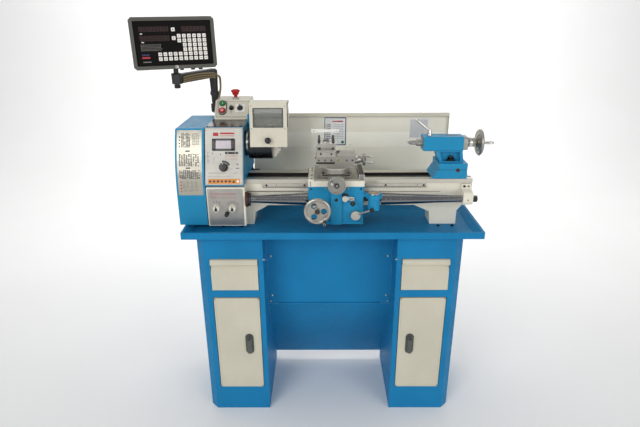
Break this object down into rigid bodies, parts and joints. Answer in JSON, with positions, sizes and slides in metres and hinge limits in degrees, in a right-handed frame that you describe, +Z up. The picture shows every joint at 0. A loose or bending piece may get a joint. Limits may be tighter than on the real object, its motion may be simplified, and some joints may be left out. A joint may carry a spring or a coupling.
{
  "type": "bench lathe on cabinet stand",
  "caption": "Bench engine lathe on cabinets with drip tray: chuck, guards, carriage, compound slide, tool post, tailstock, digital readout and working joints.",
  "frame": {"origin": "on the floor, at the middle of the four floor bolts, straight below the spindle axis", "axes": "+X along the bed from headstock to tailstock, +Y away from the operator, +Z up"},
  "size_m": [1.4435, 0.56, 1.7538],
  "materials": {
    "belt_rubber": "matt",
    "black_plastic": "matt",
    "cast": "ground",
    "clear_sheet": "clear",
    "cream_paint": "satin",
    "dark_paint": "gloss",
    "dial_brass": "satin",
    "green_plastic": "gloss",
    "grey_plastic": "matt",
    "ground_steel": "ground",
    "ivory_plastic": "gloss",
    "machine_blue": "gloss",
    "panel_grey": "satin",
    "polished": "polished",
    "red_plastic": "gloss",
    "spring_steel": "polished",
    "stand_blue": "satin"
  },
  "bodies": {
    "frame": {"cabinet_left": "stand_blue", "cabinet_right": "stand_blue", "kneehole_panels": "stand_blue", "chip_tray": "stand_blue", "bed": "cream_paint", "rack": "ground_steel", "headstock": "machine_blue", "spindle_bearings": "ground_steel", "motor": "dark_paint", "drive_belt": "belt_rubber", "control_panel": "panel_grey", "feed_gearbox": "cream_paint", "electrical_box": "cream_paint", "leadscrew_bracket": "cream_paint", "leadscrew_covers": "spring_steel", "splash_guard": "cream_paint"},
    "drawer_left": {"drawer_left": "cream_paint"},
    "door_left": {"door_left": "cream_paint"},
    "door_latch_left": {"door_latch_left": "grey_plastic"},
    "drawer_right": {"drawer_right": "cream_paint"},
    "door_right": {"door_right": "cream_paint"},
    "door_latch_right": {"door_latch_right": "grey_plastic"},
    "end_cover": {"end_cover": "machine_blue"},
    "spindle": {"spindle": "ground_steel", "chuck_body": "dark_paint"},
    "jaw_1": {"chuck_jaw_1": "ground_steel"},
    "jaw_2": {"chuck_jaw_2": "ground_steel"},
    "jaw_3": {"chuck_jaw_3": "ground_steel"},
    "change_gear": {"change_gear": "ground_steel"},
    "motor_pulley": {"motor_pulley": "ground_steel"},
    "leadscrew": {"leadscrew": "ground_steel"},
    "carriage": {"saddle": "cast", "apron": "machine_blue"},
    "apron_handwheel": {"apron_handwheel": "polished"},
    "thread_dial": {"thread_dial": "dial_brass"},
    "half_nut_lever": {"half_nut_lever": "polished"},
    "feed_lever": {"feed_lever": "ground_steel"},
    "cross_handwheel": {"cross_handwheel": "ground_steel"},
    "cross_slide": {"cross_slide": "cast"},
    "compound_base": {"compound_base": "cast"},
    "top_slide": {"top_slide": "cast"},
    "top_slide_crank": {"top_slide_crank": "ground_steel"},
    "tool_post": {"tool_post": "ground_steel"},
    "tool_post_shield": {"tool_post_shield": "clear_sheet"},
    "tailstock": {"tailstock_body": "machine_blue"},
    "tailstock_handwheel": {"tailstock_handwheel": "polished"},
    "tailstock_quill": {"tailstock_quill": "ground_steel"},
    "quill_lock_lever": {"quill_lock_lever": "polished"},
    "chuck_guard": {"chuck_guard": "cream_paint"},
    "speed_knob": {"speed_knob": "black_plastic"},
    "feed_range_knob": {"feed_range_knob": "ivory_plastic"},
    "feed_rate_knob": {"feed_rate_knob": "ivory_plastic"},
    "feed_direction_knob": {"feed_direction_knob": "black_plastic"},
    "selector_knob": {"selector_knob": "black_plastic"},
    "cam_switch_knob": {"cam_switch_knob": "black_plastic"},
    "start_button": {"start_button": "green_plastic"},
    "stop_button": {"stop_button": "red_plastic"},
    "emergency_stop": {"emergency_stop": "red_plastic"},
    "dro_arm": {"dro_arm": "grey_plastic"},
    "dro_display": {"dro_display": "grey_plastic"}
  },
  "joints": [
    {"name": "drawer_left_slide", "type": "slide", "parent": "frame", "child": "drawer_left", "axis": [0, -1, 0], "range_m": [0, 0.25]},
    {"name": "door_left_hinge", "type": "hinge", "parent": "frame", "child": "door_left", "pos_m": [-0.5, -0.163, 0.3665], "axis": [0, 0, -1], "range_deg": [0, 105]},
    {"name": "door_left_latch_turn", "type": "hinge", "parent": "door_left", "child": "door_latch_left", "pos_m": [-0.362, -0.171, 0.402], "axis": [0, -1, 0], "range_deg": [0, 90]},
    {"name": "drawer_right_slide", "type": "slide", "parent": "frame", "child": "drawer_right", "axis": [0, -1, 0], "range_m": [0, 0.25]},
    {"name": "door_right_hinge", "type": "hinge", "parent": "frame", "child": "door_right", "pos_m": [0.5, -0.163, 0.3665], "axis": [0, 0, 1], "range_deg": [0, 105]},
    {"name": "door_right_latch_turn", "type": "hinge", "parent": "door_right", "child": "door_latch_right", "pos_m": [0.362, -0.171, 0.402], "axis": [0, 1, 0], "range_deg": [0, 90]},
    {"name": "end_cover_hinge", "type": "hinge", "parent": "frame", "child": "end_cover", "pos_m": [-0.514, 0.247, 1.13], "axis": [0, 0, -1], "range_deg": [0, 95]},
    {"name": "spindle_spin", "type": "hinge", "parent": "frame", "child": "spindle", "pos_m": [-0.43, 0, 1.256], "axis": [1, 0, 0], "continuous": true},
    {"name": "jaw_1_slide", "type": "slide", "parent": "spindle", "child": "jaw_1", "axis": [0, -0.9397, 0.342], "range_m": [-0.01, 0.008]},
    {"name": "jaw_2_slide", "type": "slide", "parent": "spindle", "child": "jaw_2", "axis": [0, 0.766, 0.6428], "range_m": [-0.01, 0.008]},
    {"name": "jaw_3_slide", "type": "slide", "parent": "spindle", "child": "jaw_3", "axis": [0, 0.1736, -0.9848], "range_m": [-0.01, 0.008]},
    {"name": "change_gear_spin", "type": "hinge", "parent": "frame", "child": "change_gear", "pos_m": [-0.536, 0.09, 1.15944], "axis": [1, 0, 0], "continuous": true},
    {"name": "motor_pulley_spin", "type": "hinge", "parent": "frame", "child": "motor_pulley", "pos_m": [-0.582, 0.165, 1.04], "axis": [1, 0, 0], "continuous": true},
    {"name": "leadscrew_spin", "type": "hinge", "parent": "frame", "child": "leadscrew", "pos_m": [0, -0.098, 1.0385], "axis": [1, 0, 0], "continuous": true},
    {"name": "carriage_slide", "type": "slide", "parent": "frame", "child": "carriage", "axis": [1, 0, 0], "range_m": [-0.09, 0.16], "deforming": ["leadscrew_covers"]},
    {"name": "apron_handwheel_turn", "type": "hinge", "parent": "carriage", "child": "apron_handwheel", "pos_m": [-0.052, -0.15, 1.019], "axis": [0, 1, 0], "range_deg": [-1621, 2881]},
    {"name": "thread_dial_turn", "type": "hinge", "parent": "carriage", "child": "thread_dial", "pos_m": [0.182, -0.13, 1.04], "axis": [0, 0, 1], "range_deg": [-1013, 1801]},
    {"name": "half_nut_lever_turn", "type": "hinge", "parent": "carriage", "child": "half_nut_lever", "pos_m": [0.062, -0.13, 1.054], "axis": [0, 1, 0], "range_deg": [0, 40]},
    {"name": "feed_lever_turn", "type": "hinge", "parent": "carriage", "child": "feed_lever", "pos_m": [0.107, -0.13, 0.979], "axis": [0, 1, 0], "range_deg": [-25, 25]},
    {"name": "cross_handwheel_turn", "type": "hinge", "parent": "carriage", "child": "cross_handwheel", "pos_m": [0.0265, -0.15, 1.122], "axis": [0, 1, 0], "range_deg": [-4330, 7930]},
    {"name": "cross_slide_slide", "type": "slide", "parent": "carriage", "child": "cross_slide", "axis": [0, 1, 0], "range_m": [-0.03, 0.055]},
    {"name": "compound_swivel", "type": "hinge", "parent": "cross_slide", "child": "compound_base", "pos_m": [0.026, -0.025, 1.15], "axis": [0, 0, 1], "range_deg": [-45, 45]},
    {"name": "top_slide_slide", "type": "slide", "parent": "compound_base", "child": "top_slide", "axis": [-1, 0, 0], "range_m": [-0.045, 0.003]},
    {"name": "top_slide_crank_turn", "type": "hinge", "parent": "top_slide", "child": "top_slide_crank", "pos_m": [0.12, -0.025, 1.19], "axis": [-1, 0, 0], "range_deg": [-8110, 550]},
    {"name": "tool_post_turn", "type": "hinge", "parent": "top_slide", "child": "tool_post", "pos_m": [-0.0155, -0.025, 1.24], "axis": [0, 0, 1], "range_deg": [-180, 180]},
    {"name": "tool_post_shield_turn", "type": "hinge", "parent": "tool_post", "child": "tool_post_shield", "pos_m": [-0.0155, -0.025, 1.3], "axis": [0, 0, 1], "range_deg": [-75, 75]},
    {"name": "tailstock_slide", "type": "slide", "parent": "frame", "child": "tailstock", "axis": [1, 0, 0], "range_m": [-0.1, 0.02]},
    {"name": "tailstock_handwheel_turn", "type": "hinge", "parent": "tailstock", "child": "tailstock_handwheel", "pos_m": [0.58, 0, 1.256], "axis": [-1, 0, 0], "range_deg": [0, 5400]},
    {"name": "quill_slide", "type": "slide", "parent": "tailstock", "child": "tailstock_quill", "axis": [-1, 0, 0], "range_m": [0, 0.0601]},
    {"name": "quill_lock_turn", "type": "hinge", "parent": "tailstock", "child": "quill_lock_lever", "pos_m": [0.418, 0, 1.29], "axis": [0, 0, 1], "range_deg": [0, 60]},
    {"name": "chuck_guard_hinge", "type": "hinge", "parent": "frame", "child": "chuck_guard", "pos_m": [-0.25, 0.095, 1.345], "axis": [-1, 0, 0], "range_deg": [0, 80]},
    {"name": "speed_knob_turn", "type": "hinge", "parent": "frame", "child": "speed_knob", "pos_m": [-0.437, -0.0998, 1.17787], "axis": [0, -0.9435, 0.3315], "range_deg": [-135, 135]},
    {"name": "feed_range_knob_turn", "type": "hinge", "parent": "frame", "child": "feed_range_knob", "pos_m": [-0.472, -0.13, 1.011], "axis": [0, -1, 0], "range_deg": [-60, 60]},
    {"name": "feed_rate_knob_turn", "type": "hinge", "parent": "frame", "child": "feed_rate_knob", "pos_m": [-0.405, -0.13, 1.011], "axis": [0, -1, 0], "range_deg": [-60, 60]},
    {"name": "feed_direction_knob_turn", "type": "hinge", "parent": "frame", "child": "feed_direction_knob", "pos_m": [-0.4306, -0.13, 0.984], "axis": [0, -1, 0], "range_deg": [-30, 30]},
    {"name": "selector_knob_turn", "type": "hinge", "parent": "frame", "child": "selector_knob", "pos_m": [-0.433, 0.16089, 1.37373], "axis": [0, -0.7208, 0.6931], "range_deg": [-45, 45]},
    {"name": "cam_switch_knob_turn", "type": "hinge", "parent": "frame", "child": "cam_switch_knob", "pos_m": [-0.3945, 0.15985, 1.37265], "axis": [0, -0.7208, 0.6931], "range_deg": [-60, 60]},
    {"name": "start_button_press", "type": "slide", "parent": "frame", "child": "start_button", "axis": [0, 0.7208, -0.6931], "range_m": [0, 0.004]},
    {"name": "stop_button_press", "type": "slide", "parent": "frame", "child": "stop_button", "axis": [0, 0.7208, -0.6931], "range_m": [0, 0.004]},
    {"name": "emergency_stop_press", "type": "slide", "parent": "frame", "child": "emergency_stop", "axis": [0, 0, -1], "range_m": [0, 0.005]},
    {"name": "dro_arm_swing", "type": "hinge", "parent": "frame", "child": "dro_arm", "pos_m": [-0.522, 0.256, 1.4], "axis": [0, 0, 1], "range_deg": [-30, 30]},
    {"name": "dro_display_tilt", "type": "hinge", "parent": "dro_arm", "child": "dro_display", "pos_m": [-0.62373, 0.02012, 1.59744], "axis": [0.9442, 0.3293, 0.009], "range_deg": [-25, 10]}
  ],
  "couplings": [
    {"joint": "jaw_2_slide", "follows": "jaw_1_slide", "ratio": 1},
    {"joint": "jaw_3_slide", "follows": "jaw_1_slide", "ratio": 1},
    {"joint": "change_gear_spin", "follows": "spindle_spin", "ratio": -0.46667},
    {"joint": "motor_pulley_spin", "follows": "spindle_spin", "ratio": 1.7333},
    {"joint": "leadscrew_spin", "follows": "spindle_spin", "ratio": 0.25},
    {"joint": "apron_handwheel_turn", "follows": "carriage_slide", "rad_per_m": 314.16},
    {"joint": "thread_dial_turn", "follows": "carriage_slide", "rad_per_m": 196.35},
    {"joint": "cross_handwheel_turn", "follows": "cross_slide_slide", "rad_per_m": 2513.3},
    {"joint": "top_slide_crank_turn", "follows": "top_slide_slide", "rad_per_m": 3141.6},
    {"joint": "quill_slide", "follows": "tailstock_handwheel_turn", "m_per_rad": 0.00063662}
  ]
}
